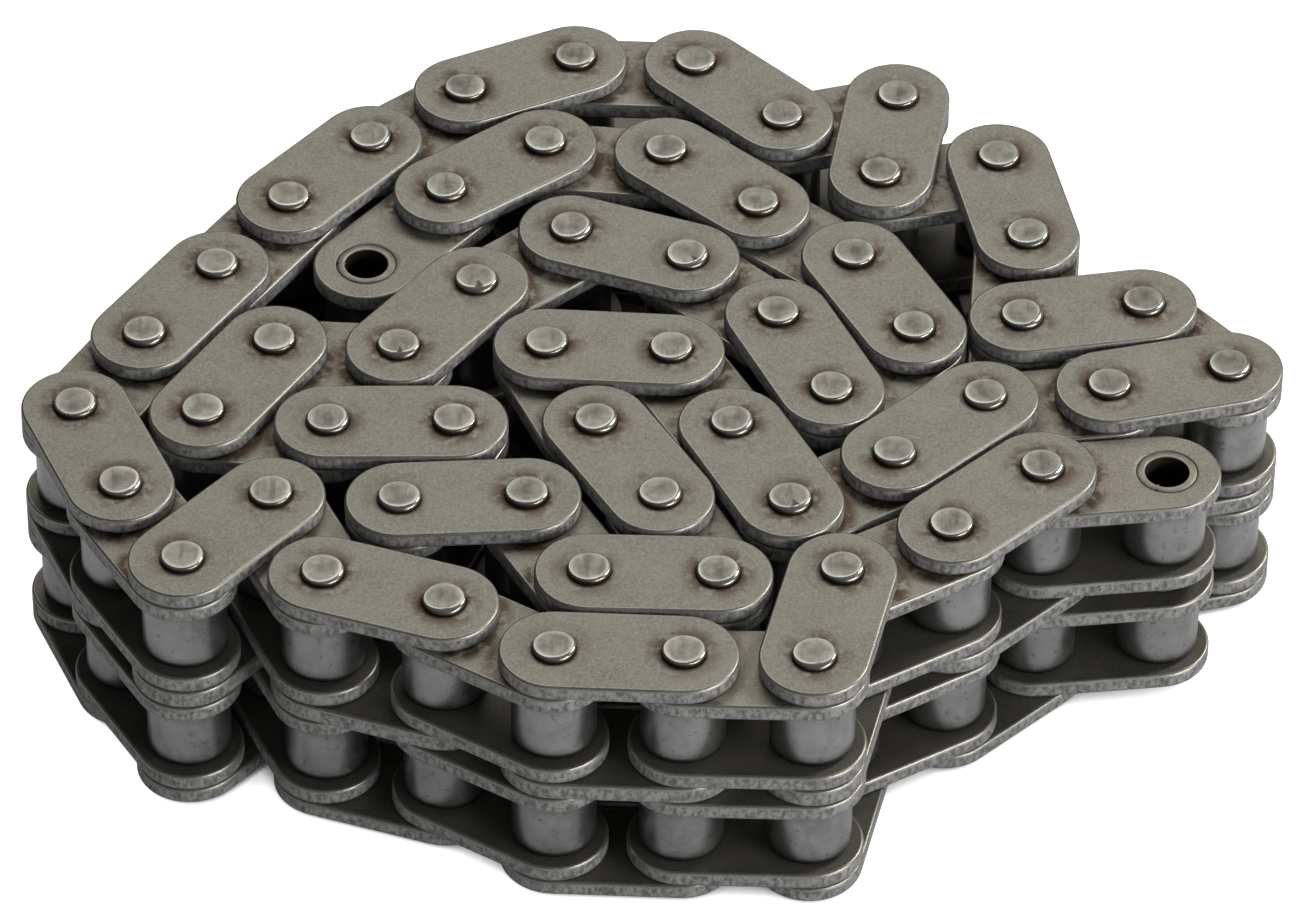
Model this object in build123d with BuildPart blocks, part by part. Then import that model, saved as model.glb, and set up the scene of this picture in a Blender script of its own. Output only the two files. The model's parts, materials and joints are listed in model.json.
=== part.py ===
from build123d import *

import math
import os

# Open duplex roller timing chain, lying on the ends of its pins in a loose crumpled coil.
# Plan position X is to the right and Y away from the viewer, the pins stand along Z.
# The origin is the middle of the coil's outline, on the surface that it lies on.

# Driving dimensions, millimetres.
pitch = 9.525
transverse_pitch = 10.24
plate_end_space = 1.325
inner_plate_thickness = 1.35
outer_plate_thickness = 1.3
centre_plate_thickness = 1.5
inner_width = 5.8
row_side_space = 0.08
pin_diameter = 3.28
pin_proud = 0.5
pin_end_radius = 0.25
bush_wall = 0.625
roller_wall = 0.825
plate_edge_radius = 0.22
bush_end_chamfer = 0.15
roller_end_radius = 0.35

# Clearances, millimetres. Each is on the radius or on one side.
pin_running = 0.035
roller_running = 0.05
roller_side_space = 0.1
press_space = 0.015

# Direction of each link in degrees from +X towards +Y, from one open end of the chain
# to the other. The first link is a roller link and the two kinds take turns.
link_headings = [
    187, 223, 211, 257, 179, 178, 149, 162, 116, 229, 122, 114, 60, 57, 57, 50, 40, 25, 358,
    316, 16, 261, 13, 282, 266, 10, 311, 194, 188, 223, 214, 117, 119, 177, 294, 301, 297, 179,
    120, 184, 66, 181, 174, 58, 357, 53, 41, 341, 317, 295, 48, 118, 141, 139, 175, 217, 231,
]

# Sizes that follow.
plate_height = pitch - plate_end_space
bush_bore = pin_diameter + 2 * pin_running
bush_outer = bush_bore + 2 * bush_wall
roller_bore = bush_outer + 2 * roller_running
roller_outer = roller_bore + 2 * roller_wall
roller_length = inner_width - 2 * roller_side_space
row_width = inner_width + 2 * inner_plate_thickness
outer_plate_inner_face = transverse_pitch / 2 + row_width / 2 + row_side_space
outer_plate_outer_face = outer_plate_inner_face + outer_plate_thickness
pin_length = 2 * (outer_plate_outer_face + pin_proud)
row_levels = [-transverse_pitch / 2, transverse_pitch / 2]


def chain_points():
    """Pin centres of the whole chain in plan, about the middle of the coil's outline."""
    points = [(0.0, 0.0)]
    for heading in link_headings:
        x, y = points[-1]
        angle = math.radians(heading)
        points.append((x + pitch * math.cos(angle), y + pitch * math.sin(angle)))
    middle_x = (min(p[0] for p in points) + max(p[0] for p in points)) / 2
    middle_y = (min(p[1] for p in points) + max(p[1] for p in points)) / 2
    return [(x - middle_x, y - middle_y) for x, y in points]


def link_place(points, index):
    """Place of a link: the middle between its two pins, turned along the link."""
    (x1, y1), (x2, y2) = points[index], points[index + 1]
    return Location(((x1 + x2) / 2, (y1 + y2) / 2, pin_length / 2), (0, 0, link_headings[index]))


def plate(thickness, hole_diameter):
    """Straight-sided link plate with round ends, two holes and rounded edges, from z = 0 up."""
    with BuildPart() as blank:
        with BuildSketch():
            SlotCenterToCenter(pitch, plate_height)
        extrude(amount=thickness)
        fillet(blank.edges().group_by(Axis.Z)[0], plate_edge_radius)
        fillet(blank.edges().group_by(Axis.Z)[-1], plate_edge_radius)
        with GridLocations(pitch, 0, 2, 1):
            Hole(hole_diameter / 2)
    return blank.part


# One of each piece, standing about its own middle.
inner_plate = plate(inner_plate_thickness, bush_outer + 2 * press_space)
outer_plate = plate(outer_plate_thickness, pin_diameter + 2 * press_space)
centre_plate = plate(centre_plate_thickness, pin_diameter + 2 * pin_running)

with BuildPart() as pin:
    Cylinder(pin_diameter / 2, pin_length)
    fillet(pin.edges().filter_by(GeomType.CIRCLE), pin_end_radius)

with BuildPart() as bush:
    Cylinder(bush_outer / 2, row_width)
    chamfer(bush.edges().filter_by(GeomType.CIRCLE), bush_end_chamfer)
    Hole(bush_bore / 2)

with BuildPart() as roller:
    Cylinder(roller_outer / 2, roller_length)
    fillet(roller.edges().filter_by(GeomType.CIRCLE), roller_end_radius)
    Hole(roller_bore / 2)


def add_row(level, roller_sides):
    """One row of a roller link: two inner plates, two bushes and the named rollers."""
    with Locations((0, 0, level + inner_width / 2), (0, 0, level - row_width / 2)):
        add(inner_plate)
    with Locations((-pitch / 2, 0, level), (pitch / 2, 0, level)):
        add(bush.part)
    with Locations([(side * pitch / 2, 0, level) for side in roller_sides]):
        add(roller.part)


with BuildPart() as roller_link:
    for row_level in row_levels:
        add_row(row_level, [-1, 1])

# The first link of the chain carries its two outermost rollers as pieces of their own.
with BuildPart() as first_roller_link:
    for row_level in row_levels:
        add_row(row_level, [1])

with BuildPart() as pin_link:
    with Locations((0, 0, outer_plate_inner_face), (0, 0, -outer_plate_outer_face)):
        add(outer_plate)
    with Locations((0, 0, -centre_plate_thickness / 2)):
        add(centre_plate)
    with GridLocations(pitch, 0, 2, 1):
        add(pin.part)


def write_node(shape, place, name):
    """Put a copy of a link or roller in its place in the chain and write its file."""
    with BuildPart() as node:
        with Locations(place):
            add(shape)
    node.part.label = name
    export_step(node.part, f"parts/{name}.step")


os.makedirs("parts", exist_ok=True)
points = chain_points()

for index in range(len(link_headings)):
    place = link_place(points, index)
    number = index // 2 + 1
    if index == 0:
        write_node(first_roller_link.part, place, "roller_link_01")
    elif index % 2 == 0:
        write_node(roller_link.part, place, f"roller_link_{number:02d}")
    else:
        write_node(pin_link.part, place, f"pin_link_{number:02d}")

for name, row_level in zip(["end_roller_lower", "end_roller_upper"], row_levels):
    end_x, end_y = points[0]
    write_node(roller.part, Location((end_x, end_y, pin_length / 2 + row_level)), name)
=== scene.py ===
import json
import math

import bpy
import numpy as np
from mathutils import Matrix, Vector


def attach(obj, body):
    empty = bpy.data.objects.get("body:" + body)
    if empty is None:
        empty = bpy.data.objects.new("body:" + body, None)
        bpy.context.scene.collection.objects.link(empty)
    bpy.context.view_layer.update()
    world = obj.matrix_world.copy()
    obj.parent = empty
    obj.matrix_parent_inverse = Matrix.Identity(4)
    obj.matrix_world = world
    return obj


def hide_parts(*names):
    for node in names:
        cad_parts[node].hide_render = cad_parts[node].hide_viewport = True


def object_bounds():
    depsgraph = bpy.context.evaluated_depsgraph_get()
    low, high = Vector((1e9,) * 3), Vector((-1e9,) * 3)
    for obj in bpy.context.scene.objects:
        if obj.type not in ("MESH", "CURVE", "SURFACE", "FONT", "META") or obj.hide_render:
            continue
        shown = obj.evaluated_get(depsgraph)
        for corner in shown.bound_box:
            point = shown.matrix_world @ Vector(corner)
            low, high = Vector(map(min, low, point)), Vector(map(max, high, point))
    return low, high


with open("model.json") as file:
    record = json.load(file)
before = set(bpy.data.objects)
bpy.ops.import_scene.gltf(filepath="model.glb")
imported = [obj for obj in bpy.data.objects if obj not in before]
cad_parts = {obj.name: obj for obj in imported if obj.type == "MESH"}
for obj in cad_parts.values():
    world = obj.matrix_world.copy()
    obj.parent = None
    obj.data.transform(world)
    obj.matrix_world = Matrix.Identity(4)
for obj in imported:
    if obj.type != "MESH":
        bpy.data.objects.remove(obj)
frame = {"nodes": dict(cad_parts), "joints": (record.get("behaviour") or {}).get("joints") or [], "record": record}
cad_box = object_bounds()

# Camera. It looks down on the coil from the front at a little over forty degrees, from
# close enough that the front of the chain is drawn slightly larger than the back.
aim = Vector((-0.00035, -0.0136, cad_box[1].z))
camera_height_angle = math.radians(42.52)
camera_roll = math.radians(0.6)
camera_distance = 0.5994
camera = bpy.data.objects.new("camera", bpy.data.cameras.new("camera"))
bpy.context.scene.collection.objects.link(camera)
camera.data.sensor_width = 36.0
camera.data.lens = 221.9
camera.data.clip_start = 0.01
look = Vector((0, math.cos(camera_height_angle), -math.sin(camera_height_angle)))
upright = Vector((0, math.sin(camera_height_angle), math.cos(camera_height_angle)))
turned = Matrix((Vector((1, 0, 0)), upright, -look)).transposed()
camera.matrix_world = (
    Matrix.Translation(aim - camera_distance * look)
    @ turned.to_4x4()
    @ Matrix.Rotation(camera_roll, 4, "Z")
)
bpy.context.scene.camera = camera
bpy.context.scene.view_settings.view_transform = "Standard"

# Studio. A white sheet carries the chain. A key lamp stands back to the right and a soft one over
# the back. A low one at the front right finds the rims, and a wide weak one fills from the front.
def lamp(name, place, size, power, colour, mirrored=True):
    """An area lamp, as wide and as high as its size says, that points at the chain.

    One that isn't mirrored lights matte surfaces only and leaves no line on polished edges.
    """
    light = bpy.data.lights.new(name, "AREA")
    light.shape = "RECTANGLE"
    light.size, light.size_y = size
    light.energy = power
    light.color = colour
    holder = bpy.data.objects.new(name, light)
    holder.visible_glossy = mirrored
    holder.location = place
    holder.rotation_euler = (Vector((0, 0, 0.01)) - Vector(place)).to_track_quat("-Z", "Y").to_euler()
    bpy.context.scene.collection.objects.link(holder)


lamp("key_lamp", (0.62, 0.34, 0.58), (0.22, 0.22), 4.6, (1.0, 0.985, 0.95))
lamp("top_lamp", (-0.02, 0.42, 0.52), (0.36, 0.36), 1.35, (1.0, 0.985, 0.95))
lamp("side_lamp", (0.50, -0.36, 0.20), (0.44, 0.13), 3.6, (1.0, 1.0, 1.0))
lamp("fill_lamp", (-0.10, -0.80, 0.30), (1.2, 0.52), 3.6, (0.97, 0.99, 1.0), mirrored=False)

world = bpy.data.worlds.new("studio")
world.use_nodes = True
world.node_tree.nodes["Background"].inputs["Color"].default_value = (0.75, 0.77, 0.80, 1)
world.node_tree.nodes["Background"].inputs["Strength"].default_value = 0.07
bpy.context.scene.world = world

sheet_half = 3.0
floor_mesh = bpy.data.meshes.new("white_sheet")
floor_mesh.from_pydata(
    [(-sheet_half, -sheet_half, 0), (sheet_half, -sheet_half, 0), (sheet_half, sheet_half, 0),
     (-sheet_half, sheet_half, 0)], [], [(0, 1, 2, 3)])
floor = bpy.data.objects.new("white_sheet", floor_mesh)
bpy.context.scene.collection.objects.link(floor)

# The open sheet glows plain white for the camera and dimly for mirroring steel. Within the reach
# of crevice_depth of the chain it is closed in, and an occlusion node paints shade into its glow
# there, so the gaps of the coil stay dark and the steel mirrors less of it.
paper = bpy.data.materials.new("white_paper")
paper.use_nodes = True
crevice_depth = 0.02
dim_white = 0.34
paper_nodes = paper.node_tree.nodes
paper_shader = paper_nodes["Principled BSDF"]
paper_shader.inputs["Base Color"].default_value = (0.40, 0.40, 0.40, 1)
paper_shader.inputs["Roughness"].default_value = 0.9
paper_shader.inputs["Emission Color"].default_value = (1, 1, 1, 1)
seen = paper_nodes.new("ShaderNodeLightPath")
# Painted shade: near the chain this occlusion cuts the sheet's glow for camera and mirror rays.
openness = paper_nodes.new("ShaderNodeAmbientOcclusion")
openness.inputs["Distance"].default_value = crevice_depth
open_sheet = paper_nodes.new("ShaderNodeMapRange")
open_sheet.inputs["From Min"].default_value = 0.10
open_sheet.inputs["From Max"].default_value = 0.30
open_sheet.inputs["To Min"].default_value = 0.01
open_sheet.inputs["To Max"].default_value = 1.0
glow = paper_nodes.new("ShaderNodeMath")
glow.operation = "MULTIPLY"
dimmed = paper_nodes.new("ShaderNodeMath")
dimmed.operation = "MULTIPLY"
dimmed.inputs[1].default_value = dim_white
both_rays = paper_nodes.new("ShaderNodeMath")
both_rays.operation = "MULTIPLY_ADD"
wires = (
    (openness.outputs["AO"], open_sheet.inputs["Value"]),
    (open_sheet.outputs["Result"], glow.inputs[0]),
    (seen.outputs["Is Camera Ray"], glow.inputs[1]),
    (openness.outputs["AO"], dimmed.inputs[0]),
    (dimmed.outputs[0], both_rays.inputs[0]),
    (seen.outputs["Is Glossy Ray"], both_rays.inputs[1]),
    (glow.outputs[0], both_rays.inputs[2]),
    (both_rays.outputs[0], paper_shader.inputs["Emission Strength"]),
)
for output, socket in wires:
    paper.node_tree.links.new(output, socket)
floor_mesh.materials.append(paper)

# The chain's line. The joints of the frame stand at the pins, and the two open bores are
# the first and the last point, so link number n runs from point n to point n + 1.
record = frame["record"]
mount_place = {mount["name"]: mount["pos_m"] for mount in record["mounts"]}
joint_place = {joint["name"]: joint["pos_m"] for joint in frame["joints"]}
inner_pins = [joint_place[name] for name in sorted(joint_place) if name.startswith("pin_turn")]
line = np.array([mount_place["open_end_bore_1"], *inner_pins, mount_place["open_end_bore_2"]])
line = line[:, :2]
roller_link_names = sorted(name for name in frame["nodes"] if name.startswith("roller_link"))
pin_link_names = sorted(name for name in frame["nodes"] if name.startswith("pin_link"))
middle_height = cad_box[1].z / 2

# Inner plates. Each row of a roller link has two stamped steel plates, pressed onto the
# bushes. Stamping leaves a rounded upper edge, and tumbling with oil a dull warm grey skin.
mm = 0.001
pitch = float(np.linalg.norm(line[1] - line[0]))
plate_height = 8.2 * mm
inner_plate_thickness = 1.35 * mm
inner_width = 5.8 * mm
row_offset = 5.12 * mm
bush_radius = 2.3 * mm
bush_gap = 0.03 * mm


def plate_shape(thickness, hole_radius, hole_edge):
    """A straight-sided link plate with two holes, from z = 0 up.

    Half of it is a grid. The first parameter goes round the pin hole: along the round end, the
    straight side, the plate's middle line and the other side. The second goes from the hole's
    wall over the face, round the edge, down the side and back. A face point is the hole's point
    plus a share of the way to the outline, and the edge is a quarter circle in section. The
    other half is the mirror image and shares the points on the middle line. Each ring is its
    points in plan, its height, how much it is worn and painted with a highlight, and how much
    of it is a sheared side.
    """
    half_pitch = pitch / 2
    edge = 0.2 * mm
    keep = 0.05 * mm
    half_height = plate_height / 2
    round_end = np.linspace(-np.pi / 2, np.pi / 2, 25)
    along = np.linspace(1, 0, 5)[1:]
    across = np.linspace(1, -1, 9)[1:]
    back = np.linspace(0, 1, 5)[1:-1]
    count = len(round_end) + len(along) + len(across) + len(back)
    on_middle = np.zeros(count, bool)
    first_middle = len(round_end) + len(along) - 1
    on_middle[first_middle:first_middle + len(across) + 1] = True

    def outline(inset):
        reach = half_height - inset
        x = np.concatenate([half_pitch + reach * np.cos(round_end), half_pitch * along,
                            0 * across, half_pitch * back])
        y = np.concatenate([reach * np.sin(round_end), reach + 0 * along, reach * across,
                            -reach + 0 * back])
        return np.stack([x, y], 1)

    rim = outline(0) - [half_pitch, 0]
    angle = np.arctan2(rim[:, 1], rim[:, 0])
    spoke = np.stack([np.cos(angle), np.sin(angle)], 1)

    def hole(radius):
        return [half_pitch, 0] + radius * spoke

    bend = np.linspace(0, np.pi / 2, 4)
    open_hole = hole(hole_radius + hole_edge)
    inner_rim = outline(edge + keep)
    rings = [(hole(hole_radius), hole_edge, 0, 0), (hole(hole_radius), thickness - hole_edge, 0, 0),
             (open_hole, thickness, 0, 0)]
    rings += [(open_hole + share * (inner_rim - open_hole), thickness, 0, 0)
              for share in (0.12, 0.3, 0.55, 0.8, 1.0)]
    first_edge = len(rings) - 1
    # The upper edge is marked for full wear and a painted highlight; the lower edge gets a quarter of it.
    rings += [(outline(edge * (1 - np.sin(a))), thickness - edge * (1 - np.cos(a)), 1, 0) for a in bend]
    rings += [(outline(0), thickness - edge - keep, 0, 1), (outline(0), edge + keep, 0, 1)]
    rings += [(outline(edge * (1 - np.cos(a))), edge * (1 - np.sin(a)), 0.25, 0.5) for a in bend]
    last_edge = len(rings)
    rings += [(inner_rim, 0, 0, 0), (open_hole, 0, 0, 0)]
    steps = len(rings)
    flat = np.stack([ring[0] for ring in rings], 1)
    height = np.broadcast_to([ring[1] for ring in rings], flat.shape[:2])
    half = np.dstack([flat, height]).reshape(-1, 3)
    wear_and_highlight = np.broadcast_to([ring[2] for ring in rings], flat.shape[:2]).ravel()
    sheared = np.broadcast_to([ring[3] for ring in rings], flat.shape[:2]).ravel()

    i, j = np.meshgrid(np.arange(count), np.arange(steps), indexing="ij")
    ahead, over = (i + 1) % count, (j + 1) % steps
    quads = np.stack([i * steps + j, i * steps + over, ahead * steps + over, ahead * steps + j], -1)
    within_plate = on_middle[i] & on_middle[ahead] & (j >= first_edge) & (j < last_edge)
    quads = quads[~within_plate]
    mirror = half * [-1, 1, 1]
    shared = np.abs(half[:, 0]) < 1e-9
    twin = np.where(shared, np.arange(len(half)), np.arange(len(half)) + len(half))
    points = np.concatenate([half, mirror])
    faces = np.concatenate([quads, twin[quads[:, ::-1]]])
    used, tidy = np.unique(faces, return_inverse=True)
    marks = {"wear_and_highlight": np.tile(wear_and_highlight, 2)[used], "sheared": np.tile(sheared, 2)[used]}
    return points[used], [tidy.reshape(faces.shape)], marks


def stained(shape, outermost, sides=(-1, 1)):
    """The same shape, marked with how far each point is from the nearest working pin, in mm.

    A face nearer to the chain's middle height than outermost looks into a gap, and is marked for painted shade
    with a little oil.
    """
    points, faces, marks = shape
    gaps = [np.linalg.norm(points[:, :2] - [side * pitch / 2, 0], axis=1) for side in sides]
    face_point = marks["sheared"] + marks["wear_and_highlight"] < 0.2
    # Painted shade, with a little oil, on faces that look into the gaps.
    oil_and_gap_shade = 1.0 * (face_point & (np.abs(points[:, 2]) < outermost))
    return points, faces, {**marks, "from_pin": np.min(gaps, axis=0) / mm, "oil_and_gap_shade": oil_and_gap_shade}


def moved(shape, x=0.0, z=0.0):
    """The same shape at another place along the link and another height."""
    points, faces, marks = shape
    return points + [x, 0, z], faces, marks


def joined(shapes):
    """Several shapes as one, with their point numbers counted on."""
    starts = np.cumsum([0] + [len(shape[0]) for shape in shapes])
    points = np.concatenate([shape[0] for shape in shapes])
    faces = [face + start for shape, start in zip(shapes, starts) for face in shape[1]]
    marks = {key: np.concatenate([shape[2][key] for shape in shapes]) for key in shapes[0][2]}
    return points, faces, marks


def make_piece(name, shape, start, end, materials, node):
    """Lays a shape along one link of the chain, as a mesh that rides with that link's body."""
    points, faces, marks = shape
    way = (end - start) / np.linalg.norm(end - start)
    middle = (start + end) / 2
    laid = np.stack([middle[0] + points[:, 0] * way[0] - points[:, 1] * way[1],
                     middle[1] + points[:, 0] * way[1] + points[:, 1] * way[0],
                     middle_height + points[:, 2]], 1)
    mesh = bpy.data.meshes.new(name)
    mesh.from_pydata(laid, [], [row for block in faces for row in block.tolist()])
    mesh.polygons.foreach_set("use_smooth", np.ones(len(mesh.polygons), bool))
    for key, values in marks.items():
        attribute = mesh.attributes.new(key, "FLOAT", "POINT")
        attribute.data.foreach_set("value", values.astype(np.float32))
    for material in materials:
        mesh.materials.append(material)
    piece = bpy.data.objects.new(name, mesh)
    bpy.context.scene.collection.objects.link(piece)
    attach(piece, node)
    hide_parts(node)


def new_steel(name, metallic):
    """A steel of one metallic share, with its node tree and its shader."""
    steel = bpy.data.materials.new(name)
    steel.use_nodes = True
    tree = steel.node_tree
    shader = tree.nodes["Principled BSDF"]
    shader.inputs["Metallic"].default_value = metallic
    return steel, tree, shader


def math_node(tree, operation, first, second=None, clamp=False):
    """One sum of the node tree. A number is set on the socket and a socket is linked."""
    node = tree.nodes.new("ShaderNodeMath")
    node.operation = operation
    node.use_clamp = clamp
    for socket, value in zip(node.inputs, (first, second)):
        if isinstance(value, (int, float)):
            socket.default_value = value
        elif value is not None:
            tree.links.new(value, socket)
    return node.outputs[0]


def product(tree, first, second):
    """Two values multiplied."""
    return math_node(tree, "MULTIPLY", first, second)


def total(tree, first, second):
    """Two values added."""
    return math_node(tree, "ADD", first, second)


def less(tree, first, second):
    """The second value taken off the first."""
    return math_node(tree, "SUBTRACT", first, second)


def grain(tree, scale, detail, stretch=(1, 1, 1)):
    """Noise on object coordinates, with its scale per metre and a stretch on each axis."""
    place = tree.nodes.new("ShaderNodeTexCoord")
    turn = tree.nodes.new("ShaderNodeMapping")
    turn.inputs["Scale"].default_value = stretch
    noise = tree.nodes.new("ShaderNodeTexNoise")
    noise.inputs["Scale"].default_value = scale
    noise.inputs["Detail"].default_value = detail
    noise.inputs["Roughness"].default_value = 0.6
    tree.links.new(place.outputs["Object"], turn.inputs["Vector"])
    tree.links.new(turn.outputs["Vector"], noise.inputs["Vector"])
    return noise.outputs["Fac"]


def mark(tree, name):
    """A number stored on the points of the piece."""
    node = tree.nodes.new("ShaderNodeAttribute")
    node.attribute_name = name
    return node.outputs["Fac"]


def tint(tree, factor, first, second):
    """A colour between two, each a linear RGB triple or a socket."""
    node = tree.nodes.new("ShaderNodeMix")
    node.data_type = "RGBA"
    tree.links.new(factor, node.inputs["Factor"])
    for socket, value in ((node.inputs[6], first), (node.inputs[7], second)):
        if isinstance(value, tuple):
            socket.default_value = (*value, 1)
        else:
            tree.links.new(value, socket)
    return node.outputs[2]


def spread(tree, value, low, high):
    """Stretches a value so that low becomes 0 and high becomes 1, held between them."""
    node = tree.nodes.new("ShaderNodeMapRange")
    tree.links.new(value, node.inputs["Value"])
    node.inputs["From Min"].default_value = low
    node.inputs["From Max"].default_value = high
    return node.outputs["Result"]


def raised(tree, shader, height, distance):
    """Gives the shader a bump from a height field, with its depth in metres."""
    bump = tree.nodes.new("ShaderNodeBump")
    bump.inputs["Distance"].default_value = distance
    bump.inputs["Strength"].default_value = 1.0
    tree.links.new(height, bump.inputs["Height"])
    tree.links.new(bump.outputs["Normal"], shader.inputs["Normal"])


def plate_steel(name, face_light, face_dark, stain_from, stain_to):
    """Tumbled plate steel: grainy faces, streaked sheared sides, burnished edges with a painted
    highlight, oil stains, and painted shade with some oil on faces that look into gaps.

    The stain is full at stain_from and gone at stain_to, both in mm from the nearest pin.
    """
    metallic = 0.82
    steel, tree, shader = new_steel(name, metallic)
    sheared, wear_and_highlight, oil_and_gap_shade = mark(tree, "sheared"), mark(tree, "wear_and_highlight"), mark(tree, "oil_and_gap_shade")
    fine = grain(tree, 5200, 3)
    blotch = grain(tree, 260, 4)
    streak = grain(tree, 2600, 4, (1, 1, 0.6))
    pale_speck, burnished_and_highlight = (0.36, 0.348, 0.308), (0.34, 0.335, 0.315)
    side_dark, side_light = (0.095, 0.094, 0.091), (0.250, 0.248, 0.243)
    rust, oil_and_gap_shade_dark = (0.070, 0.038, 0.019), (0.030, 0.030, 0.027)

    face = tint(tree, spread(tree, blotch, 0.35, 0.68), face_dark, face_light)
    face = tint(tree, product(tree, spread(tree, fine, 0.32, 0.72), 0.62), face, pale_speck)
    side = tint(tree, spread(tree, streak, 0.38, 0.60), side_dark, side_light)
    colour = tint(tree, sheared, face, side)
    # Painted highlight: rounded edges, the upper ones most, are tinted lighter, along with burnish.
    colour = tint(tree, product(tree, wear_and_highlight, 0.2), colour, burnished_and_highlight)

    patch = product(tree, spread(tree, grain(tree, 800, 5), 0.41, 0.53),
                    spread(tree, grain(tree, 110, 2), 0.34, 0.50))
    near = spread(tree, mark(tree, "from_pin"), stain_to, stain_from)
    flat = math_node(tree, "SUBTRACT", less(tree, 1.0, sheared), total(tree, wear_and_highlight, oil_and_gap_shade), True)
    stain = math_node(tree, "MULTIPLY", product(tree, near, patch), product(tree, flat, 0.85), True)
    colour = tint(tree, stain, colour, rust)
    # Painted shade: faces that look into the gaps are darkened, with a little oil.
    colour = tint(tree, product(tree, oil_and_gap_shade, 0.5), colour, oil_and_gap_shade_dark)
    tree.links.new(colour, shader.inputs["Base Color"])

    tree.links.new(less(tree, metallic, product(tree, sheared, 0.5)), shader.inputs["Metallic"])
    rough = total(tree, less(tree, 0.52, product(tree, wear_and_highlight, 0.20)), product(tree, blotch, 0.12))
    tree.links.new(rough, shader.inputs["Roughness"])
    streaks = product(tree, product(tree, streak, 2.0), sheared)
    raised(tree, shader, total(tree, product(tree, fine, 0.35), streaks), 0.03 * mm)
    return steel


inner_light, inner_dark = (0.250, 0.236, 0.196), (0.160, 0.150, 0.124)
inner_steel = plate_steel("inner_plate_steel", inner_light, inner_dark, 4.6, 5.4)
inner_hole_edge = 0.04 * mm
inner_plate = plate_shape(inner_plate_thickness, bush_radius + bush_gap, inner_hole_edge)
inner_plates = joined([moved(inner_plate, z=level + side)
                       for level in (-row_offset, row_offset)
                       for side in (inner_width / 2, -inner_width / 2 - inner_plate_thickness)])
outermost_plate = row_offset + (inner_width + inner_plate_thickness) / 2
working_ends = {roller_link_names[0]: (1,), roller_link_names[-1]: (-1,)}
for number, name in enumerate(roller_link_names):
    plates = stained(inner_plates, outermost_plate, working_ends.get(name, (-1, 1)))
    make_piece(f"{name}_plates", plates, line[2 * number], line[2 * number + 1],
               [inner_steel], name)

# Bushes. A strip of steel is curled into a tube and pressed through both plates of a row. The
# seam of the curl stays open as a fine line, and the pin has polished the lip of the bore. The lip
# is also painted lighter as a highlight, and the bore walls are darkened by old oil and painted shade.
bush_bore_radius = 1.675 * mm
bush_length = 8.5 * mm
bush_chamfer = 0.06 * mm
seam_depth = 0.16 * mm
seam_width = 0.035
seam_fan = np.array([-0.12, -0.06, -0.03, 0.0, 0.03, 0.06, 0.12])


def turned_shape(profile, angles, dip=None):
    """A closed profile of radius and height, carried round the axis.

    The first parameter is the angle and the second goes round the profile. Each profile row is
    radius, height, how much it is worn and painted with a highlight, and how much it is dirty and
    darkened with painted shade. dip is a radius taken off by angle.
    """
    profile = np.array(profile)
    count, steps = len(angles), len(profile)
    taken = np.zeros(count) if dip is None else dip
    outside = profile[:, 0] > profile[:, 0].min() + 0.001 * mm
    radius = profile[None, :, 0] - taken[:, None] * outside[None, :]
    points = np.dstack([radius * np.cos(angles)[:, None], radius * np.sin(angles)[:, None],
                        np.broadcast_to(profile[:, 1], radius.shape)]).reshape(-1, 3)
    i, j = np.meshgrid(np.arange(count), np.arange(steps), indexing="ij")
    ahead, over = (i + 1) % count, (j + 1) % steps
    quads = np.stack([i * steps + j, ahead * steps + j, ahead * steps + over, i * steps + over], -1)
    marks = {"wear_and_highlight": np.tile(profile[:, 2], count), "dirt_and_shade": np.tile(profile[:, 3], count)}
    return points, [quads.reshape(-1, 4)], marks


def bush_shape(seam):
    """A bush with its seam at an angle. The outside dips there by a bell curve of the angle.

    The angles lie close together at the seam and evenly on the rest of the round.
    """
    plain = np.linspace(0.2, 2 * np.pi - 0.2, 36)
    angles = seam + np.concatenate([seam_fan, plain])
    off = np.concatenate([seam_fan, plain])
    off = np.minimum(off % (2 * np.pi), -off % (2 * np.pi))
    half = bush_length / 2
    lip = 0.05 * mm
    # The third column is polish with a painted highlight on the lip, the fourth old oil with painted shade down
    # the bore.
    upper_end = [(bush_radius, half - bush_chamfer, 0, 1), (bush_radius - bush_chamfer, half, 0, 0),
                 (bush_bore_radius + 3 * lip, half, 0, 0), (bush_bore_radius + lip, half, 1, 0),
                 (bush_bore_radius, half - lip, 0.5, 0.7), (bush_bore_radius, half - 3 * lip, 0, 1)]
    lower_end = [(radius, -height, wear_and_highlight, dirt_and_shade) for radius, height, wear_and_highlight, dirt_and_shade in upper_end[::-1]]
    return turned_shape(lower_end + upper_end, angles, seam_depth * np.exp(-((off / seam_width) ** 2)))


def bush_steel_finish():
    """Bush steel: pale ends, a polished lip with a painted highlight, and walls darkened by old oil and painted
    shade.
    """
    steel, tree, shader = new_steel("bush_steel", 0.8)
    dark, light = (0.17, 0.16, 0.135), (0.27, 0.26, 0.22)
    polished_and_highlight, oil_and_shade_dark = (0.44, 0.42, 0.37), (0.030, 0.020, 0.013)
    dirt_and_shade = mark(tree, "dirt_and_shade")
    colour = tint(tree, spread(tree, grain(tree, 900, 4), 0.3, 0.7), dark, light)
    # Painted highlight on the lip, with polish.
    colour = tint(tree, product(tree, mark(tree, "wear_and_highlight"), 0.6), colour, polished_and_highlight)
    # Painted shade down the bore, with old oil.
    colour = tint(tree, dirt_and_shade, colour, oil_and_shade_dark)
    tree.links.new(colour, shader.inputs["Base Color"])
    tree.links.new(total(tree, 0.50, product(tree, dirt_and_shade, 0.3)), shader.inputs["Roughness"])
    raised(tree, shader, grain(tree, 4000, 3), 0.012 * mm)
    return steel


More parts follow.
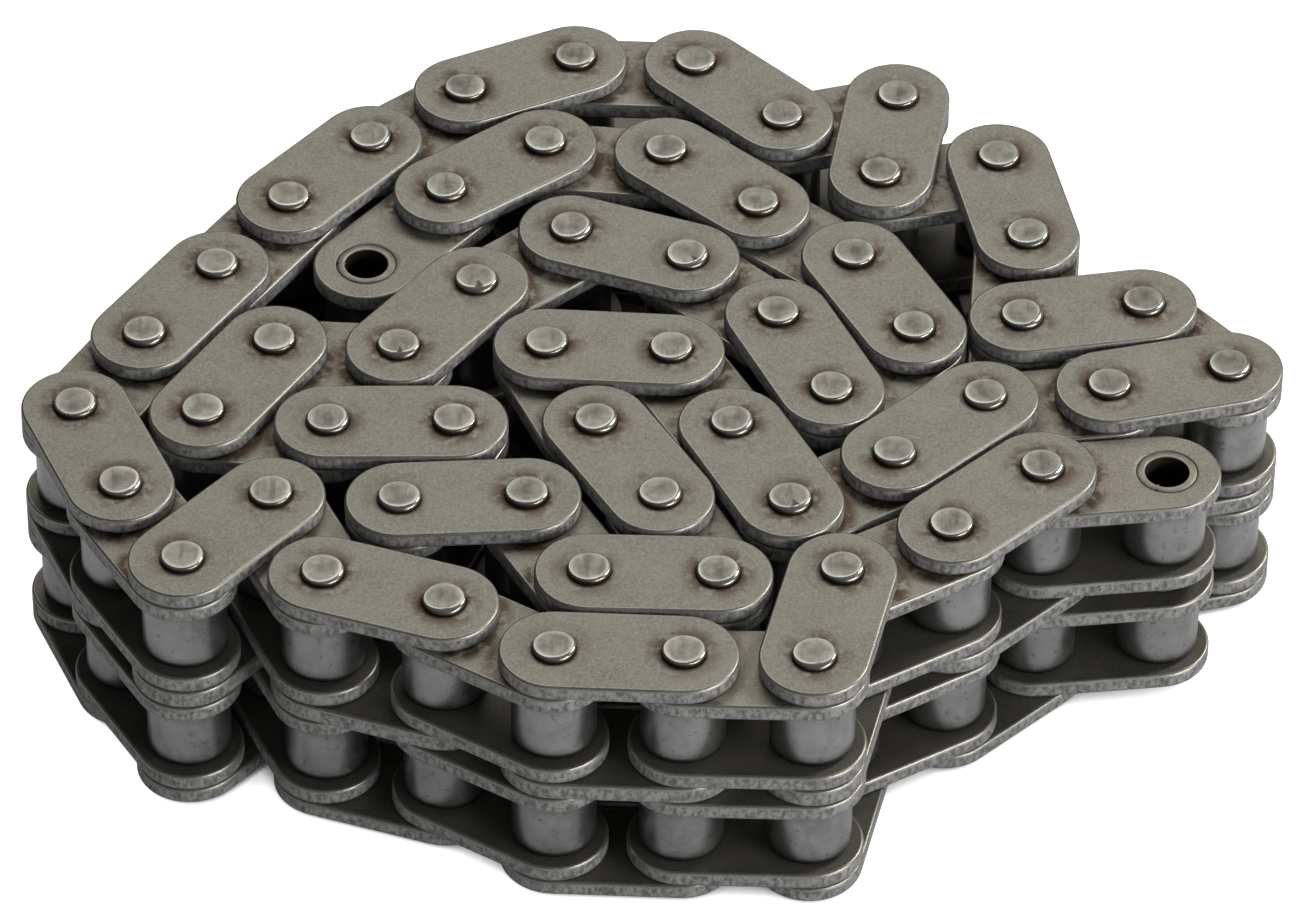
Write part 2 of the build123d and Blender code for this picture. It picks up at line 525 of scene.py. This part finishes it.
bush_steel = bush_steel_finish()
chance = np.random.default_rng(seed=11)
first_seam = math.radians(-115)
last_seam = math.radians(180)
for number, name in enumerate(roller_link_names):
    way = line[2 * number + 1] - line[2 * number]
    heading = math.atan2(way[1], way[0])
    seams = chance.uniform(0, 2 * np.pi, 2)
    if number == 0:
        seams[0] = first_seam - heading
    if number == len(roller_link_names) - 1:
        seams[1] = last_seam - heading
    bushes = joined([moved(bush_shape(seam), side * pitch / 2, level)
                     for seam, side in zip(seams, (-1, 1)) for level in (-row_offset, row_offset)])
    make_piece(f"{name}_bushes", bushes, line[2 * number], line[2 * number + 1],
               [bush_steel], name)

# Rollers. Each one is a hard smooth barrel that turns on its bush between the two plates.
# Both of its ends darken towards the plates, as oil and grime and as painted shade where the barrel meets them.
roller_radius = 3.175 * mm
roller_bore_radius = 2.35 * mm
roller_length = 5.6 * mm
roller_rounding = 0.35 * mm


def roller_shape():
    """A barrel whose two rims are quarter circles in section."""
    half = roller_length / 2
    core = roller_radius - roller_rounding
    bend = np.linspace(0, np.pi / 2, 4)
    # The fourth column darkens both ends towards the plates: grime and painted shade.
    profile = [(roller_bore_radius, -half, 0, 1)]
    profile += [(core + roller_rounding * np.sin(a), -half + roller_rounding * (1 - np.cos(a)),
                 0.3, 0.85) for a in bend]
    profile += [(roller_radius, -half + 0.7 * mm, 0, 0.25), (roller_radius, -half + 1.3 * mm, 0, 0),
                (roller_radius, half - 1.2 * mm, 0, 0), (roller_radius, half - 0.6 * mm, 0, 0.2)]
    profile += [(core + roller_rounding * np.cos(a), half - roller_rounding * (1 - np.sin(a)),
                 0.3, 0.8) for a in bend]
    profile += [(roller_bore_radius, half, 0, 1)]
    return turned_shape(profile, np.linspace(0, 2 * np.pi, 49)[:-1])


def roller_steel_finish():
    """Roller steel: even blue-grey, faint rings round the barrel, smudges, flecks, and rims darkened by grime and
    painted shade.
    """
    steel, tree, shader = new_steel("roller_steel", 0.94)
    dark, light, ring_grey = (0.240, 0.240, 0.240), (0.330, 0.330, 0.332), (0.29, 0.29, 0.295)
    smudge_grey, fleck_brown, oil_and_shade_dark = (0.10, 0.095, 0.088), (0.05, 0.045, 0.04), (0.020, 0.018, 0.016)
    rings = grain(tree, 1500, 3, (0.08, 0.08, 1))
    cloud = grain(tree, 380, 4)
    smudge = spread(tree, grain(tree, 520, 6, (1, 1, 0.6)), 0.52, 0.66)
    fleck = spread(tree, grain(tree, 1700, 5), 0.60, 0.68)
    colour = tint(tree, spread(tree, cloud, 0.32, 0.7), dark, light)
    colour = tint(tree, product(tree, spread(tree, rings, 0.4, 0.7), 0.25), colour, ring_grey)
    colour = tint(tree, product(tree, smudge, 0.30), colour, smudge_grey)
    colour = tint(tree, product(tree, fleck, 0.45), colour, fleck_brown)
    # Painted shade at both ends, with grime.
    colour = tint(tree, mark(tree, "dirt_and_shade"), colour, oil_and_shade_dark)
    tree.links.new(colour, shader.inputs["Base Color"])
    tree.links.new(total(tree, 0.24, product(tree, cloud, 0.12)), shader.inputs["Roughness"])
    raised(tree, shader, total(tree, rings, grain(tree, 5200, 2)), 0.008 * mm)
    return steel


roller_steel = roller_steel_finish()
roller = roller_shape()
for number, name in enumerate(roller_link_names):
    sides = (1,) if number == 0 else (-1, 1)
    rollers = joined([moved(roller, side * pitch / 2, level)
                      for side in sides for level in (-row_offset, row_offset)])
    make_piece(f"{name}_rollers", rollers, line[2 * number], line[2 * number + 1],
               [roller_steel], name)
for name, level in (("end_roller_lower", -row_offset), ("end_roller_upper", row_offset)):
    make_piece(f"{name}_barrel", moved(roller, -pitch / 2, level), line[0], line[1],
               [roller_steel], name)

# Outer and centre plates. A pin link has a stamped plate on top and one below, pressed onto
# its pins, and one plate between the two rows that the pins slide through.
outer_plate_thickness = 1.3 * mm
outer_plate_inner_face = 9.45 * mm
centre_plate_thickness = 1.5 * mm
pin_radius = 1.64 * mm
press_gap = 0.015 * mm
sliding_gap = 0.035 * mm
pin_hole_edge = 0.05 * mm

outer_light, outer_dark = (0.225, 0.215, 0.182), (0.160, 0.153, 0.130)
outer_steel = plate_steel("outer_plate_steel", outer_light, outer_dark, 1.9, 3.1)
outer_plate = plate_shape(outer_plate_thickness, pin_radius + press_gap, pin_hole_edge)
outer_plates = joined([moved(outer_plate, z=outer_plate_inner_face),
                       moved(outer_plate, z=-outer_plate_inner_face - outer_plate_thickness)])
topmost_plate = outer_plate_inner_face + outer_plate_thickness / 2
outer_plates = stained(outer_plates, topmost_plate)
centre_plate = plate_shape(centre_plate_thickness, pin_radius + sliding_gap, pin_hole_edge)
centre_plate = stained(moved(centre_plate, z=-centre_plate_thickness / 2), centre_plate_thickness)
for number, name in enumerate(pin_link_names):
    start, end = line[2 * number + 1], line[2 * number + 2]
    for piece_name, shape in (("outer_plates", outer_plates), ("centre_plate", centre_plate)):
        make_piece(f"{name}_{piece_name}", shape, start, end, [outer_steel], name)

# Pins. Each is a hard round bar through both rows. Its ends stand proud of the outer plates,
# and riveting has left their rims round, a little uneven and burnished. The rims are also tinted
# with a painted highlight, and the sides below them with painted shade and old oil.
pin_half_length = middle_height
hidden_height = 9.6 * mm
struck_way = math.radians(-55)


def pin_shape(lean, wave, struck):
    """A bar with riveted ends, its radius and height a sum of slow waves of the angle.

    The rim of each end is a quarter of an ellipse in section. It is widest towards the angle
    struck, by a squared cosine, and the end face falls off to one side.
    """
    angles = np.linspace(0, 2 * np.pi, 33)[:-1]
    blow = (0.5 + 0.5 * np.sin(wave)) * np.clip(np.cos(angles - struck), 0, 1) ** 2
    rounding, drop = (0.12 + 0.36 * blow[:, None]) * mm, (0.18 + 0.24 * blow[:, None]) * mm
    bend = np.linspace(0, np.pi / 2, 5)
    foot = outer_plate_inner_face + outer_plate_thickness
    dirt_and_shade_height = 0.06 * mm
    every = np.ones((len(angles), 1))
    out_of_round, end_slope, end_loss = 0.07 * mm, 0.06 * mm, 0.02 * mm
    radius = np.hstack([every * np.full(4, pin_radius), pin_radius - rounding * (1 - np.cos(bend)),
                        every * [pin_radius * 0.72, pin_radius * 0.25]])
    height = np.hstack([every * [0.0, hidden_height, foot, foot + dirt_and_shade_height],
                        pin_half_length - drop * (1 - np.sin(bend)),
                        every * [pin_half_length, pin_half_length]])
    # Painted highlight with burnish on the rim, brightest at its top.
    rim_wear_and_highlight = 0.3 + 0.7 * np.sin(bend)
    rim_wear_and_highlight[-1] = 0.5
    wear_and_highlight = np.concatenate([[0, 0, 0, 0.1], rim_wear_and_highlight, [0.1, 0.0]])
    # Painted shade with old oil, on the side from the foot up into the rim.
    dirt_and_shade = np.concatenate([[1, 1, 1, 1], 0.85 * np.cos(bend) ** 4, [0, 0]])
    ends = []
    for side, phase in ((1, wave), (-1, wave + 2.1)):
        lobes = 0.5 + 0.25 * np.sin(2 * angles + phase) + 0.25 * np.sin(3 * angles + 1.7 * phase)
        free = np.clip((height - hidden_height) / (pin_half_length - hidden_height), 0, 1)
        reach = radius - out_of_round * lobes[:, None] * free ** 8
        fall = end_slope * (1 + np.cos(angles - lean - phase)) * 0.5
        up = height - fall[:, None] * free ** 6 * radius / pin_radius - end_loss * free ** 6
        points = np.dstack([reach * np.cos(angles)[:, None], side * reach * np.sin(angles)[:, None],
                            side * up]).reshape(-1, 3)
        ends.append(points)
    count, steps = radius.shape
    i, j = np.meshgrid(np.arange(count), np.arange(steps - 1), indexing="ij")
    ahead = (i + 1) % count
    quads = np.stack([i * steps + j, ahead * steps + j, ahead * steps + j + 1, i * steps + j + 1], -1)
    quads = quads.reshape(-1, 4)
    cap = (np.arange(count) * steps + steps - 1)[None, :]
    lower = len(ends[0])
    equator = np.arange(count) * steps
    twin = np.arange(lower) + lower
    twin[equator] = (-np.arange(count) % count) * steps
    faces = [quads, cap, twin[quads], twin[cap]]
    marks = {"wear_and_highlight": np.tile(wear_and_highlight, 2 * count), "dirt_and_shade": np.tile(dirt_and_shade, 2 * count)}
    points = np.concatenate(ends)
    used = np.unique(np.concatenate([face.ravel() for face in faces]))
    renumber = np.zeros(len(points), int)
    renumber[used] = np.arange(len(used))
    return points[used], [renumber[face] for face in faces], {k: v[used] for k, v in marks.items()}


def pin_steel_finish():
    """Pin steel: a scratched grey end, a bright rim that is burnished and a painted highlight, and a brown foot
    and side of old oil and painted shade.
    """
    steel, tree, shader = new_steel("pin_steel", 0.85)
    dark, light, scratch_grey = (0.11, 0.106, 0.092), (0.235, 0.226, 0.196), (0.07, 0.066, 0.058)
    burnished_and_highlight, oil_and_shade_dark = (0.60, 0.59, 0.55), (0.035, 0.024, 0.015)
    wear_and_highlight = mark(tree, "wear_and_highlight")
    blotch = grain(tree, 900, 5)
    scratch = grain(tree, 1500, 4, (1, 0.15, 1))
    colour = tint(tree, spread(tree, blotch, 0.34, 0.66), dark, light)
    colour = tint(tree, product(tree, spread(tree, scratch, 0.52, 0.66), 0.6), colour, scratch_grey)
    # Painted highlight on the rim, with burnish.
    colour = tint(tree, product(tree, wear_and_highlight, 0.7), colour, burnished_and_highlight)
    # Painted shade on the foot and side, with old oil.
    colour = tint(tree, mark(tree, "dirt_and_shade"), colour, oil_and_shade_dark)
    tree.links.new(colour, shader.inputs["Base Color"])
    tree.links.new(less(tree, 0.48, product(tree, wear_and_highlight, 0.30)), shader.inputs["Roughness"])
    raised(tree, shader, total(tree, blotch, scratch), 0.012 * mm)
    return steel


pin_steel = pin_steel_finish()
for number, name in enumerate(pin_link_names):
    lean_and_wave = chance.uniform(0, 2 * np.pi, (2, 2))
    way = line[2 * number + 2] - line[2 * number + 1]
    struck = struck_way + 0.4 * np.sin(lean_and_wave[:, 0]) - math.atan2(way[1], way[0])
    pins = joined([moved(pin_shape(*lean_and_wave[k], struck[k]), side * pitch / 2)
                   for k, side in enumerate((-1, 1))])
    make_piece(f"{name}_pins", pins, line[2 * number + 1], line[2 * number + 2],
               [pin_steel], name)
